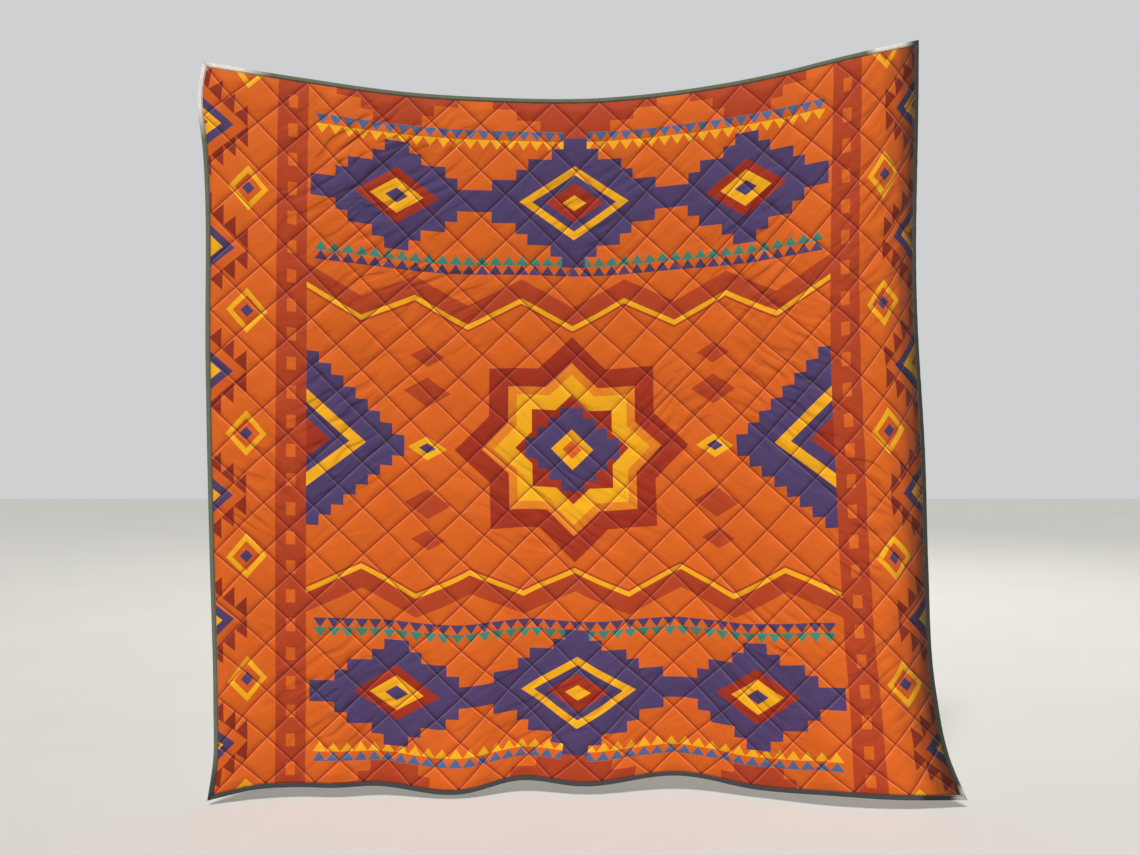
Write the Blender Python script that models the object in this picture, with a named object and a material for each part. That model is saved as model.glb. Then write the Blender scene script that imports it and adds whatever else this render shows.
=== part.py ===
# A quilted bedspread that hangs by its top edge and sags between its two upper corners.
# Metres, +Z up, +X to the right, +Y away from the viewer. The origin is the middle of the top edge.

import bmesh
import bpy
import numpy as np

# Driving dimensions of the flat bedspread
cloth_width = 1.87
cloth_height = 1.86
squares_across = 15
squares_down = 15

# Quilting: the seams pull the layers together, and each diamond between them stands up
seam_thickness = 0.003
puff_height = 0.0045
puff_shoulder = 0.021
puff_unevenness = 0.2

# Binding, sewn round the edge, and the gap that parts the solids
binding_width = 0.012
binding_thickness = 0.007
binding_roundness = 0.0022
solid_gap = 0.0003
mitre_gap = 0.00022

# Tables of the hanging shape. Across runs from 0 at the left edge to 1 at the right one, down from 0
# at the top edge to 1 at the hem, back is away from the viewer and height is above the origin.
top_edge = (
    # across, back, height
    (0.00, 0.000, 0.084),
    (0.13, 0.006, 0.046),
    (0.27, 0.018, 0.013),
    (0.40, 0.027, 0.001),
    (0.53, 0.030, 0.001),
    (0.66, 0.016, 0.021),
    (0.79, -0.018, 0.056),
    (0.86, -0.036, 0.083),
    (0.93, -0.012, 0.117),
    (1.00, 0.050, 0.153),
)
middle_line = (
    # across, back
    (0.00, 0.000),
    (0.12, 0.022),
    (0.30, 0.082),
    (0.50, 0.120),
    (0.68, 0.072),
    (0.80, -0.004),
    (0.87, -0.032),
    (0.94, 0.002),
    (1.00, 0.063),
)
hem = (
    # across, back, height
    (0.000, 0.000, -1.763),
    (0.060, 0.045, -1.746),
    (0.111, 0.065, -1.745),
    (0.168, 0.060, -1.746),
    (0.214, 0.080, -1.746),
    (0.335, 0.060, -1.763),
    (0.428, 0.120, -1.741),
    (0.506, 0.090, -1.750),
    (0.638, 0.130, -1.733),
    (0.737, 0.060, -1.751),
    (0.840, -0.025, -1.744),
    (0.913, -0.045, -1.748),
    (1.000, -0.020, -1.756),
)
left_edge = (
    # down, sideways
    (0.00, -0.935),
    (0.04, -0.948),
    (0.12, -0.935),
    (0.40, -0.928),
    (0.68, -0.918),
    (0.87, -0.909),
    (0.95, -0.910),
    (1.00, -0.924),
)
right_edge = (
    # down, sideways
    (0.00, 0.865),
    (0.35, 0.867),
    (0.55, 0.884),
    (0.70, 0.889),
    (0.86, 0.901),
    (0.95, 0.931),
    (1.00, 0.969),
)
left_line_top = -0.932   # the straight line that the left edge wavers about
left_line_hem = -0.912
left_waver_reach = 0.13  # how far across its wavering is felt
middle_down = 0.5        # where middle_line lies
hem_fold_start = 0.42    # the hem's folds grow from here down
hem_fold_power = 2.2
stretch_start = 0.42     # the right edge's pull is taken up from here on
stretch_power = 1.2

length_samples = 96
normal_step = 0.004

panel_colour = (0.68, 0.117, 0.021, 1.0)
binding_colour = (0.23, 0.24, 0.22, 1.0)


def curve_through(rows, column, place):
    # A smooth curve through a table's column, with its slopes taken from the rows on either side.
    table = np.array(rows)
    along = table[:, 0]
    value = table[:, column]
    slope = np.gradient(value, along)
    i = np.clip(np.searchsorted(along, place, side="right") - 1, 0, len(along) - 2)
    span = along[i + 1] - along[i]
    u = np.clip((place - along[i]) / span, 0.0, 1.0)
    rise = u * u * (3 - 2 * u)
    start_part = u * (1 - u) ** 2 * slope[i] * span
    end_part = u * u * (1 - u) * slope[i + 1] * span
    return value[i] + (value[i + 1] - value[i]) * rise + start_part - end_part


def smooth_step(value, start, end):
    u = np.clip((value - start) / (end - start), 0.0, 1.0)
    return u * u * (3 - 2 * u)


def back_at(across, down):
    # Distance behind the upper corners: flat at the top, a belly in the middle, folds at the hem.
    top = curve_through(top_edge, 1, across)
    middle = curve_through(middle_line, 1, across)
    low = curve_through(hem, 1, across)
    belly = smooth_step(down, 0.0, middle_down)
    fold = np.clip((down - hem_fold_start) / (1 - hem_fold_start), 0.0, 1.0) ** hem_fold_power
    upper = top + (middle - top) * belly
    return upper + (low - upper) * fold


def reach_at(across, down):
    # Each row keeps its length, so it narrows where it turns away from the viewer.
    places = across[:, None] * np.linspace(0.0, 1.0, length_samples)[None, :]
    rows = np.repeat(down[:, None], length_samples, axis=1)
    run = (across * cloth_width / (length_samples - 1))[:, None]
    turned = np.diff(back_at(places, rows), axis=1)
    return np.sqrt(np.maximum(run ** 2 - turned ** 2, 0.0)).sum(axis=1)


def hung_middle(across, down):
    # A point of the middle layer: the row's reach from the left, with both edges pulled to place.
    line = left_line_top + (left_line_hem - left_line_top) * down
    waver = curve_through(left_edge, 1, down) - line
    waver_share = np.clip(1 - across / left_waver_reach, 0.0, 1.0) ** 2
    pull = curve_through(right_edge, 1, down) - line - reach_at(np.ones_like(down), down)
    pull_share = np.clip((across - stretch_start) / (1 - stretch_start), 0.0, 1.0) ** stretch_power
    x = line + reach_at(across, down) + pull * pull_share + waver * waver_share
    top = curve_through(top_edge, 2, across)
    low = curve_through(hem, 2, across)
    z = top + (low - top) * down
    return np.stack([x, back_at(across, down), z], axis=1)


def hung(flat_points):
    # Flat places (from the left edge, up from the hem, out of the face) taken to the hanging cloth.
    flat = np.array(flat_points, dtype=float)
    across = flat[:, 0] / cloth_width
    down = 1.0 - flat[:, 1] / cloth_height
    low_across = np.clip(across - normal_step, 0.0, 1.0)
    high_across = np.clip(across + normal_step, 0.0, 1.0)
    low_down = np.clip(down - normal_step, 0.0, 1.0)
    high_down = np.clip(down + normal_step, 0.0, 1.0)
    to_right = hung_middle(high_across, down) - hung_middle(low_across, down)
    to_hem = hung_middle(across, high_down) - hung_middle(across, low_down)
    outward = np.cross(to_hem, to_right)
    outward /= np.linalg.norm(outward, axis=1)[:, None]
    centre = hung_middle(np.array([0.5]), np.array([0.0]))[0]
    return hung_middle(across, down) + outward * flat[:, 2:3] - centre


def hang(bm):
    # The faces are pointed outwards while the piece is still flat, and hanging keeps them so.
    bm.normal_update()
    bmesh.ops.recalc_face_normals(bm, faces=bm.faces[:])
    places = hung([tuple(v.co) for v in bm.verts])
    for vert, place in zip(bm.verts, places):
        vert.co = place


def add_object(name, bm, collection, material):
    mesh = bpy.data.meshes.new(name)
    bm.to_mesh(mesh)
    bm.free()
    mesh.materials.append(material)
    obj = bpy.data.objects.new(name, mesh)
    collection.objects.link(obj)
    return obj


def fabric(name, colour, roughness):
    material = bpy.data.materials.new(name)
    material.use_nodes = True
    shader = material.node_tree.nodes["Principled BSDF"]
    shader.inputs["Base Color"].default_value = colour
    shader.inputs["Roughness"].default_value = roughness
    shader.inputs["Metallic"].default_value = 0.0
    material.diffuse_color = colour
    return material


def puff_scale(x, y):
    # The wadding is uneven, so some diamonds stand a little higher than others.
    wave = np.sin(7.3 * x + 2.1 * y) * np.cos(3.7 * y - 4.9 * x + 0.6)
    return 1.0 + puff_unevenness * wave


def quilted_panel():
    bm = bmesh.new()
    bmesh.ops.create_grid(bm, x_segments=squares_across, y_segments=squares_down, size=0.5)
    square_edges = set(bm.edges)

    # The diagonals of the squares are the seams, and the sides between two squares are dissolved.
    bmesh.ops.poke(bm, faces=bm.faces[:])
    inner = [e for e in bm.edges if e in square_edges and len(e.link_faces) == 2]
    bmesh.ops.dissolve_edges(bm, edges=inner, use_verts=False)
    rim = [e for e in bm.edges if e.is_boundary]
    bmesh.ops.subdivide_edges(bm, edges=rim, cuts=1)

    width = cloth_width - 2 * binding_width
    height = cloth_height - 2 * binding_width
    for v in bm.verts:
        v.co.x = binding_width + (v.co.x + 0.5) * width
        v.co.y = binding_width + (v.co.y + 0.5) * height
        v.co.z = -seam_thickness / 2

    front = bmesh.ops.extrude_face_region(bm, geom=bm.faces[:], use_keep_orig=True)["geom"]
    for v in front:
        if isinstance(v, bmesh.types.BMVert):
            v.co.z = seam_thickness / 2
    bmesh.ops.recalc_face_normals(bm, faces=bm.faces[:])

    # Each diamond is inset from its seams, and its inner face is raised.
    diamonds = [f for f in bm.faces if abs(f.normal.z) > 0.9]
    bmesh.ops.inset_individual(bm, faces=diamonds, thickness=puff_shoulder, use_even_offset=True)
    for face in diamonds:
        side = 1.0 if face.calc_center_median().z > 0 else -1.0
        centre = face.calc_center_median()
        raised = seam_thickness / 2 + puff_height * puff_scale(centre.x, centre.y)
        for v in face.verts:
            v.co.z = side * raised
    hang(bm)
    return bm


def binding_strip(edge):
    # A bar as long as the panel's edge, with a station at each of the panel's rim points.
    along_x = edge in ("top", "bottom")
    length = (cloth_width if along_x else cloth_height) - 2 * binding_width
    stations = 2 * (squares_across if along_x else squares_down)
    width = binding_width - solid_gap

    bm = bmesh.new()
    bmesh.ops.create_cube(bm, size=1.0)
    for v in bm.verts:
        v.co.x = binding_width + (v.co.x + 0.5) * length
        v.co.y = (v.co.y + 0.5) * width
        v.co.z = v.co.z * binding_thickness
    long_edges = [e for e in bm.edges if abs(e.verts[0].co.x - e.verts[1].co.x) > length / 2]
    outer = [e for e in long_edges if e.verts[0].co.y < width / 2]
    bmesh.ops.bevel(bm, geom=outer, offset=binding_roundness, segments=1, affect="EDGES")
    long_edges = [e for e in bm.edges if abs(e.verts[0].co.x - e.verts[1].co.x) > length / 2]
    bmesh.ops.subdivide_edges(bm, edges=long_edges, cuts=stations - 1, use_grid_fill=True)

    # The ends are mitred: the outer side is longer than the inner one.
    last = binding_width + length
    for v in bm.verts:
        if v.co.x < binding_width + 1e-5:
            v.co.x = v.co.y + mitre_gap
        elif v.co.x > last - 1e-5:
            v.co.x = last + binding_width - v.co.y - mitre_gap

    for v in bm.verts:
        along, inward = v.co.x, v.co.y
        if edge == "top":
            v.co.x, v.co.y = along, cloth_height - inward
        elif edge == "bottom":
            v.co.x, v.co.y = along, inward
        elif edge == "left":
            v.co.x, v.co.y = inward, along
        else:
            v.co.x, v.co.y = cloth_width - inward, along
    hang(bm)
    return bm


def clear_scene():
    for obj in list(bpy.data.objects):
        bpy.data.objects.remove(obj, do_unlink=True)


def main():
    clear_scene()
    collection = bpy.data.collections.new("quilted_bedspread")
    bpy.context.scene.collection.children.link(collection)

    panel_cloth = fabric("printed_microfibre", panel_colour, 0.62)
    add_object("quilted_panel", quilted_panel(), collection, panel_cloth)
    binding_cloth = fabric("binding_tape", binding_colour, 0.75)
    for edge in ("top", "bottom", "left", "right"):
        add_object("binding_" + edge, binding_strip(edge), collection, binding_cloth)


main()
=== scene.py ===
import math
import bmesh
import bpy
import numpy as np
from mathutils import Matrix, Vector


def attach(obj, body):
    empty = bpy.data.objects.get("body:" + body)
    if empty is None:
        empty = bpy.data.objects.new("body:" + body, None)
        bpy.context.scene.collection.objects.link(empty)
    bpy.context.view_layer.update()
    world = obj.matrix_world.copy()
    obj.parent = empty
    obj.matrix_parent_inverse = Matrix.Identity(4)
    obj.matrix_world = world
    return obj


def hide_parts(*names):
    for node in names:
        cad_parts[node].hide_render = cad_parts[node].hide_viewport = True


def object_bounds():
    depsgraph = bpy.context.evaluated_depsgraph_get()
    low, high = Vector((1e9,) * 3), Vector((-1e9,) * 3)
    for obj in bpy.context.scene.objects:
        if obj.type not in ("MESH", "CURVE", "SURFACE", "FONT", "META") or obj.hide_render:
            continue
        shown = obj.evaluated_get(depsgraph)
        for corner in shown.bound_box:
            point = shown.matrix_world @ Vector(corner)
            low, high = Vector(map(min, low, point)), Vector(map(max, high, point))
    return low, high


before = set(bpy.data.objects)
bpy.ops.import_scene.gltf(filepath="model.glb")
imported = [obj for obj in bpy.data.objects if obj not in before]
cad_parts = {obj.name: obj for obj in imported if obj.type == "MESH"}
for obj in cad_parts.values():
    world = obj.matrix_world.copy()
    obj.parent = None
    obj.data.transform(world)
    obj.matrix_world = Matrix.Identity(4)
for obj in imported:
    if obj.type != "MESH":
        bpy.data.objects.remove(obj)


def plainBox(box):
    return [[float(c) for c in corner] for corner in box]


cadBox = plainBox(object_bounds())
print("frame loaded:", sorted(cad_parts))

# The cloth as cut, in metres. The hanging tables are those of the solids: across runs from 0 at the left
# edge to 1 at the right, down from 0 at the top edge to 1 at the hem, back is away from the viewer.
cloth = {
    "width": 1.87,
    "height": 1.86,
    "squaresAcross": 15,
    "squaresDown": 15,
    "bindingWidth": 0.012,
    "topEdge": (  # across, back, height
        (0.00, 0.000, 0.084), (0.13, 0.006, 0.046), (0.27, 0.018, 0.013), (0.40, 0.027, 0.001),
        (0.53, 0.030, 0.001), (0.66, 0.016, 0.021), (0.79, -0.018, 0.056), (0.86, -0.036, 0.083),
        (0.93, -0.012, 0.117), (1.00, 0.050, 0.153),
    ),
    "middleLine": (  # across, back
        (0.00, 0.000), (0.12, 0.022), (0.30, 0.082), (0.50, 0.120), (0.68, 0.072),
        (0.80, -0.004), (0.87, -0.032), (0.94, 0.002), (1.00, 0.063),
    ),
    "hem": (  # across, back, height
        (0.000, 0.000, -1.763), (0.060, 0.045, -1.746), (0.111, 0.065, -1.745), (0.168, 0.060, -1.746),
        (0.214, 0.080, -1.746), (0.335, 0.060, -1.763), (0.428, 0.120, -1.741), (0.506, 0.090, -1.750),
        (0.638, 0.130, -1.733), (0.737, 0.060, -1.751), (0.840, -0.025, -1.744), (0.913, -0.045, -1.748),
        (1.000, -0.020, -1.756),
    ),
    "leftEdge": (  # down, sideways
        (0.00, -0.935), (0.04, -0.948), (0.12, -0.935), (0.40, -0.928), (0.68, -0.918),
        (0.87, -0.909), (0.95, -0.910), (1.00, -0.924),
    ),
    "rightEdge": (  # down, sideways
        (0.00, 0.865), (0.35, 0.867), (0.55, 0.884), (0.70, 0.889), (0.86, 0.901),
        (0.95, 0.931), (1.00, 0.969),
    ),
    "leftLineTop": -0.932,
    "leftLineHem": -0.912,
    "leftWaverReach": 0.13,
    "middleDown": 0.5,
    "hemFoldStart": 0.42,
    "hemFoldPower": 2.2,
    "stretchStart": 0.42,
    "stretchPower": 1.2,
    "gridPoints": 561,
    "billow": 0.0028,        # slow unevenness of the hanging cloth
    "billowAtTop": 0.35,     # share of it at the held upper edge
    "billowFull": 0.3,       # how far down it is whole
    "swells": (  # weight, radians across, radians down, start
        (1.0, 9.1, 4.2, 0.4), (0.7, 5.3, -11.7, 1.9), (0.5, 17.3, 8.9, 3.1), (0.4, -21.7, 13.1, 2.2708),
    ),
}

# the panel inside its binding, and how near two places count as one
panelWidth = cloth["width"] - 2 * cloth["bindingWidth"]
panelHeight = cloth["height"] - 2 * cloth["bindingWidth"]
hairline = 1e-5


def curveThrough(rows, column, place):
    # a smooth curve through one column of a table
    table = np.array(rows)
    along, value = table[:, 0], table[:, column]
    slope = np.gradient(value, along)
    i = np.clip(np.searchsorted(along, place, side="right") - 1, 0, len(along) - 2)
    span = along[i + 1] - along[i]
    u = np.clip((place - along[i]) / span, 0.0, 1.0)
    bend = u * (1 - u) ** 2 * slope[i] * span - u * u * (1 - u) * slope[i + 1] * span
    return value[i] + (value[i + 1] - value[i]) * u * u * (3 - 2 * u) + bend


def smoothStep(value, start, end):
    u = np.clip((value - start) / (end - start), 0.0, 1.0)
    return u * u * (3 - 2 * u)


def waves(rows, first, second, times=1):
    # even waves added up, from rows of weight, radians along two ways, and start
    return sum(
        weight * np.sin(one * first + two * second + start * times)
        for weight, one, two, start in rows
    )


def billowAt(across, down):
    # slow, uneven swells, weaker at the held upper edge
    atTop = cloth["billowAtTop"]
    growing = atTop + (1 - atTop) * smoothStep(down, 0.0, cloth["billowFull"])
    return cloth["billow"] * waves(cloth["swells"], across, down) * growing


def hangingGrid():
    # the hung middle layer and the direction that its face looks in, on an even grid of the cloth
    count = cloth["gridPoints"]
    across, down = np.meshgrid(np.linspace(0.0, 1.0, count), np.linspace(0.0, 1.0, count))
    top = curveThrough(cloth["topEdge"], 1, across)
    middle = curveThrough(cloth["middleLine"], 1, across)
    low = curveThrough(cloth["hem"], 1, across)
    upper = top + (middle - top) * smoothStep(down, 0.0, cloth["middleDown"])
    folding = np.clip((down - cloth["hemFoldStart"]) / (1 - cloth["hemFoldStart"]), 0.0, 1.0)
    back = upper + (low - upper) * folding ** cloth["hemFoldPower"]

    # each row keeps its length, so it reaches less far sideways where it bends
    run = cloth["width"] / (count - 1)
    steps = np.sqrt(np.maximum(run ** 2 - np.diff(back, axis=1) ** 2, 0.0))
    reach = np.concatenate([np.zeros((count, 1)), np.cumsum(steps, axis=1)], axis=1)
    line = cloth["leftLineTop"] + (cloth["leftLineHem"] - cloth["leftLineTop"]) * down
    waver = curveThrough(cloth["leftEdge"], 1, down) - line
    waverShare = np.clip(1 - across / cloth["leftWaverReach"], 0.0, 1.0) ** 2
    pull = curveThrough(cloth["rightEdge"], 1, down) - line - reach[:, -1:]
    pulled = np.clip((across - cloth["stretchStart"]) / (1 - cloth["stretchStart"]), 0.0, 1.0)
    x = line + reach + pull * pulled ** cloth["stretchPower"] + waver * waverShare
    topHeight = curveThrough(cloth["topEdge"], 2, across)
    z = topHeight + (curveThrough(cloth["hem"], 2, across) - topHeight) * down

    points = np.stack([x, back, z], axis=2)
    points -= points[0, (count - 1) // 2]
    toRight = np.gradient(points, axis=1)
    toHem = np.gradient(points, axis=0)
    outward = np.cross(toHem, toRight)
    outward /= np.linalg.norm(outward, axis=2)[:, :, None]
    points += outward * billowAt(across, down)[:, :, None]
    return points, outward


gridPlaces, gridOutward = hangingGrid()


def hang(flat):
    # flat places (from the left edge, up from the hem, out of the face) taken to the hanging cloth
    last = cloth["gridPoints"] - 1
    column = np.clip(flat[:, 0] / cloth["width"], 0.0, 1.0) * last
    row = np.clip(1.0 - flat[:, 1] / cloth["height"], 0.0, 1.0) * last
    left = np.minimum(column.astype(int), last - 1)
    upper = np.minimum(row.astype(int), last - 1)
    toRight = (column - left)[:, None]
    toHem = (row - upper)[:, None]

    def between(grid):
        upperRow = grid[upper, left] * (1 - toRight) + grid[upper, left + 1] * toRight
        lowerRow = grid[upper + 1, left] * (1 - toRight) + grid[upper + 1, left + 1] * toRight
        return upperRow * (1 - toHem) + lowerRow * toHem

    return between(gridPlaces) + between(gridOutward) * flat[:, 2:3]


# Quilting: layers, puffs and the soft creases that show between the seams
quilting = {
    "seamThickness": 0.0028,
    "puffHeight": 0.0064,
    "backPuffHeight": 0.0046,
    "puffRoundness": 0.58,   # lower is flatter, with a sharper groove
    "rimFade": (-0.02, 0.22),    # squares between which the puffs rise beside the binding
    "unevenness": (  # share of the height, radians across, radians up, start (for each metre)
        (0.08, 2.4, 5.8, 0.6), (0.08, 12.2, -1.6, -0.6),
    ),
    "frontCuts": 11,
    "backCuts": 5,
    "creaseEverywhere": 0.10,
    "deepestCrease": 0.0020,     # groups this deep show their fine creases in full
    # weight, radians along and across the creases for each metre, and shift from group to group
    "creaseBends": ((0.9, 21.0, 0.0, 1), (0.7, 9.0, 33.0, 2)),
    "creaseBreaks": ((0.45, 47.0, 61.0, 3),),
    "creaseMean": 0.55,
    "ripple": 0.35,          # a finer crease over the main ones, and how much closer it is
    "ripplePace": 2.1,
    "creaseGroups": (  # across, up, half width, half height, angle, spacing, depth (metres, degrees)
        (0.345, 1.560, 0.150, 0.200, 38, 0.034, 0.0018),
        (0.480, 1.700, 0.170, 0.110, 30, 0.030, 0.0019),
        (0.560, 1.330, 0.120, 0.160, 47, 0.034, 0.0013),
        (1.420, 1.420, 0.130, 0.210, 33, 0.033, 0.0020),
        (1.500, 1.080, 0.140, 0.210, -32, 0.035, 0.0016),
        (1.200, 1.000, 0.110, 0.130, 40, 0.032, 0.0015),
        (0.330, 0.950, 0.120, 0.230, 36, 0.036, 0.0016),
        (0.120, 0.780, 0.090, 0.260, -24, 0.032, 0.0014),
        (0.340, 0.240, 0.160, 0.170, 35, 0.034, 0.0017),
        (0.900, 0.220, 0.230, 0.130, 30, 0.031, 0.0015),
        (0.980, 1.580, 0.200, 0.110, 24, 0.032, 0.0013),
        (1.430, 0.330, 0.150, 0.190, -38, 0.037, 0.0014),
        (1.700, 0.640, 0.110, 0.240, -34, 0.032, 0.0020),
        (1.730, 1.450, 0.090, 0.260, 30, 0.030, 0.0014),
        (0.900, 0.780, 0.260, 0.200, -40, 0.037, 0.0012),
        (1.750, 0.270, 0.085, 0.150, 31, 0.027, 0.0022),
    ),
}


def groupShare(x, y, group):
    # 1 in the middle of a group of creases, fading out round it
    middleX, middleY, halfX, halfY = group[:4]
    return np.exp(-((x - middleX) / halfX) ** 2 - ((y - middleY) / halfY) ** 2)


def creaseAt(x, y):
    # groups of short, soft creases that run side by side and fade out
    total = np.zeros_like(x)
    for order, group in enumerate(quilting["creaseGroups"]):
        middleX, middleY, angle, spacing, depth = group[0], group[1], group[4], group[5], group[6]
        turn = math.radians(angle)
        across = (y - middleY) * math.cos(turn) - (x - middleX) * math.sin(turn)
        along = (x - middleX) * math.cos(turn) + (y - middleY) * math.sin(turn)
        turns = 2 * math.pi * across / spacing
        bent = np.sin(turns + waves(quilting["creaseBends"], along, across, order))
        broken = quilting["creaseMean"] + waves(quilting["creaseBreaks"], along, across, order)
        fine = quilting["ripple"] * np.sin(quilting["ripplePace"] * turns)
        total += depth * groupShare(x, y, group) * broken * (bent + fine)
    return total


def creaseShare(x, y, rising):
    # how strongly the fine creases of one lean show at each place
    total = np.full_like(x, quilting["creaseEverywhere"])
    for group in quilting["creaseGroups"]:
        angle, depth = group[4], group[6]
        if (angle > 0) == rising:
            total += groupShare(x, y, group) * depth / quilting["deepestCrease"]
    return np.clip(total, 0.0, 1.0)


def puffAt(flat, height):
    # a low pillow between the seams, with a few creases that the seams hold down
    x, y = flat[:, 0], flat[:, 1]
    squaresX = (x - cloth["bindingWidth"]) / panelWidth * cloth["squaresAcross"]
    squaresY = (y - cloth["bindingWidth"]) / panelHeight * cloth["squaresDown"]
    falling = np.mod(squaresX + squaresY, 1.0)
    rising = np.mod(squaresX - squaresY, 1.0)
    # each pair below is a quarter at most, so the product is 1 in the middle of a diamond
    domed = 16 * falling * (1 - falling) * rising * (1 - rising)
    pillow = np.maximum(domed, 0.0) ** quilting["puffRoundness"]
    fromRight = cloth["squaresAcross"] - squaresX
    fromTop = cloth["squaresDown"] - squaresY
    edge = np.minimum.reduce([squaresX, fromRight, squaresY, fromTop])
    pillow *= smoothStep(edge, *quilting["rimFade"])
    uneven = 1 + waves(quilting["unevenness"], x, y)
    return pillow * (height * uneven + creaseAt(x, y))


def readPoints(mesh):
    points = np.empty(len(mesh.vertices) * 3)
    mesh.vertices.foreach_get("co", points)
    return points.reshape(-1, 3)


def writePoints(mesh, points):
    mesh.vertices.foreach_set("co", np.ascontiguousarray(points, dtype=float).ravel())
    mesh.update()


def diamondSheet(name, cuts, height):
    # flat squares at the quilting's pitch, poked, with the sides between squares dissolved
    bpy.ops.object.select_all(action="DESELECT")
    bpy.ops.mesh.primitive_grid_add(
        x_subdivisions=cloth["squaresAcross"], y_subdivisions=cloth["squaresDown"], size=1.0
    )
    sheet = bpy.context.object
    sheet.name = name
    bpy.ops.object.mode_set(mode="EDIT")
    bpy.ops.mesh.select_all(action="SELECT")
    bpy.ops.mesh.poke()
    bpy.ops.mesh.select_mode(type="EDGE")
    bpy.ops.mesh.select_all(action="DESELECT")
    edit = bmesh.from_edit_mesh(sheet.data)
    for edge in edit.edges:
        start, end = (vertex.co for vertex in edge.verts)
        level = abs(start.x - end.x) < hairline or abs(start.y - end.y) < hairline
        edge.select_set(level and not edge.is_boundary)
    bpy.ops.mesh.dissolve_edges(use_verts=False)
    bpy.ops.mesh.select_all(action="SELECT")
    bpy.ops.mesh.subdivide(number_cuts=cuts)
    bpy.ops.object.mode_set(mode="OBJECT")

    points = readPoints(sheet.data)
    points[:, 0] = cloth["bindingWidth"] + (points[:, 0] + 0.5) * panelWidth
    points[:, 1] = cloth["bindingWidth"] + (points[:, 1] + 0.5) * panelHeight
    points[:, 2] = height
    writePoints(sheet.data, points)
    return sheet


def finishPiece(piece, materials):
    piece.data.materials.clear()
    for material in materials:
        piece.data.materials.append(material)
    for polygon in piece.data.polygons:
        polygon.use_smooth = True


def flatUvs(mesh, points, name="flatCloth"):
    # the cloth's own flat places, in metres, for the print, the stitches and the weave
    if name == "flatCloth" and mesh.uv_layers:
        mesh.uv_layers[0].name = name
    else:
        mesh.uv_layers.new(name=name)
    layer = mesh.uv_layers[name]
    corners = np.empty(len(mesh.loops), dtype=np.int32)
    mesh.loops.foreach_get("vertex_index", corners)
    layer.data.foreach_set("uv", np.ascontiguousarray(points[corners, :2], dtype=float).ravel())


def printedPlaces(points):
    # the print doesn't run quite true to the cloth's edges
    left, right = clothPrint["driftSides"]
    share = np.clip((points[:, 0] - left) / (right - left), 0.0, 1.0)
    rows = clothPrint["drift"]
    leftX, rightX, leftY, rightY = (curveThrough(rows, k, points[:, 1]) for k in (1, 2, 3, 4))
    moved = points.copy()
    moved[:, 0] -= leftX + (rightX - leftX) * share
    moved[:, 1] -= leftY + (rightY - leftY) * share
    return moved


def quiltedPanel(materials):
    half = quilting["seamThickness"] / 2
    front = diamondSheet("quiltedPanel", quilting["frontCuts"], half)
    back = diamondSheet("backLayer", quilting["backCuts"], -half)
    back.data.flip_normals()
    bpy.ops.object.select_all(action="DESELECT")
    back.select_set(True)
    front.select_set(True)
    bpy.context.view_layer.objects.active = front
    bpy.ops.object.join()
    panel = bpy.context.object

    # the two layers are closed round the rim
    bpy.ops.object.mode_set(mode="EDIT")
    bpy.ops.mesh.select_mode(type="EDGE")
    bpy.ops.mesh.select_all(action="DESELECT")
    edit = bmesh.from_edit_mesh(panel.data)
    for edge in edit.edges:
        edge.select_set(edge.is_boundary)
    bpy.ops.mesh.bridge_edge_loops()
    bpy.ops.object.mode_set(mode="OBJECT")

    points = readPoints(panel.data)
    flatUvs(panel.data, points)
    flatUvs(panel.data, printedPlaces(points), "printRun")
    for name, rising in (("risingCreases", True), ("fallingCreases", False)):
        share = panel.data.attributes.new(name, "FLOAT", "POINT")
        share.data.foreach_set("value", creaseShare(points[:, 0], points[:, 1], rising))
    isBack = points[:, 2] < 0
    backFaces = [all(isBack[i] for i in polygon.vertices) for polygon in panel.data.polygons]
    points[:, 2] = np.where(
        isBack,
        -half - puffAt(points, quilting["backPuffHeight"]),
        half + puffAt(points, quilting["puffHeight"]),
    )
    writePoints(panel.data, hang(points))
    finishPiece(panel, materials)
    panel.data.polygons.foreach_set("material_index", np.array(backFaces, dtype=np.int32))
    return panel


# The binding: a strip of tape folded round each edge, in metres
binding = {
    "thickness": 0.0074,
    "roundness": 0.0026,
    "roundSegments": 3,
    "gap": 0.0003,
    "stations": 240,         # lengths that each strip is divided into
    "puckerDepth": 0.0005,
    "puckerSpacing": 0.013,
    "puckerDrift": 23.0,     # radians in a metre, by which the puckers come and go
}


def selectLongEdges(mesh, length):
    # the edges that run the whole length of a bar
    bpy.ops.mesh.select_all(action="DESELECT")
    edit = bmesh.from_edit_mesh(mesh)
    for edge in edit.edges:
        start, end = edge.verts
        edge.select_set(abs(start.co.x - end.co.x) > length / 2)


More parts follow.
